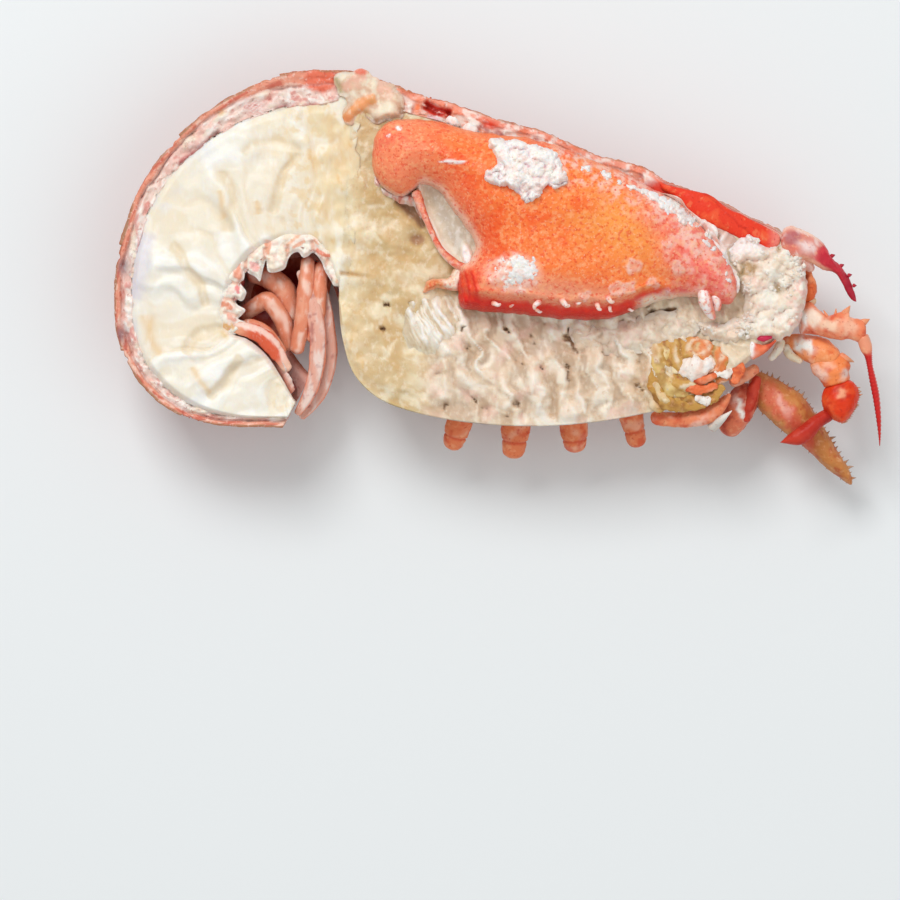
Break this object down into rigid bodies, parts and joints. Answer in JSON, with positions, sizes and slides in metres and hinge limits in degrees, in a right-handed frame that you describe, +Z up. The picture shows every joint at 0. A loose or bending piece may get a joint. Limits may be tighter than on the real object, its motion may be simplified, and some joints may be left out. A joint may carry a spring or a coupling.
{
  "type": "cooked lobster half",
  "caption": "Half of a cooked lobster, split lengthwise and lying cut face up, with curled tail meat in its shell, body flesh and a claw shell resting on it.",
  "frame": {"origin": "centre of the bounding box at the base, on the surface that the half lies on", "axes": "+Z up, square to the cut face; +X towards the head; +Y towards the back edge of the shell"},
  "size_m": [0.2151, 0.1167, 0.0474],
  "materials": {
    "tail_shell": "cooked shell, salmon red, satin",
    "back_red": "cooked shell, deep red, satin",
    "claw_orange": "cooked shell, orange-red, finely pitted, satin",
    "tail_white": "cooked meat, warm white, moist",
    "body_tan": "cooked flesh, beige, moist",
    "curd_white": "set white protein, lumpy, moist",
    "limb_orange": "cooked shell, orange, satin",
    "skin_gold": "thin golden skin, glossy",
    "beak_crimson": "cooked shell, crimson, satin",
    "fan_pink": "thin pink shell, satin"
  },
  "bodies": {
    "root": {"tail_ring_1": "tail_shell", "tail_ring_2": "tail_shell", "tail_ring_3": "tail_shell", "tail_ring_4": "tail_shell", "tail_ring_5": "tail_shell", "tail_ring_6": "tail_shell", "tail_meat": "tail_white", "belly_plate": "fan_pink", "back_shell": "back_red", "head_skin": "back_red", "body_flesh": "body_tan", "joint_pad": "curd_white", "head_curd": "curd_white", "gill_tuft": "curd_white", "leg_socket": "skin_gold", "claw_shell": "claw_orange", "claw_hook": "claw_orange", "claw_strut": "claw_orange", "claw_chip": "claw_orange", "claw_lining": "curd_white", "beak": "beak_crimson", "feeler": "beak_crimson", "eye_stalk": "limb_orange", "feeler_base": "limb_orange", "mouth_leg_thigh": "limb_orange", "mouth_leg_shin": "limb_orange", "mouth_leg_toe": "beak_crimson", "spiny_arm": "limb_orange", "leg_root": "limb_orange", "socket_edge": "limb_orange", "leg_stub_1": "limb_orange", "leg_stub_2": "limb_orange", "leg_stub_3": "limb_orange", "leg_stub_4": "limb_orange", "swimmer_1": "limb_orange", "swimmer_2": "limb_orange", "swimmer_3": "limb_orange", "swimmer_4": "limb_orange", "swimmer_5": "limb_orange", "fan_blade_1": "fan_pink", "fan_blade_2": "fan_pink"}
  },
  "joints": []
}
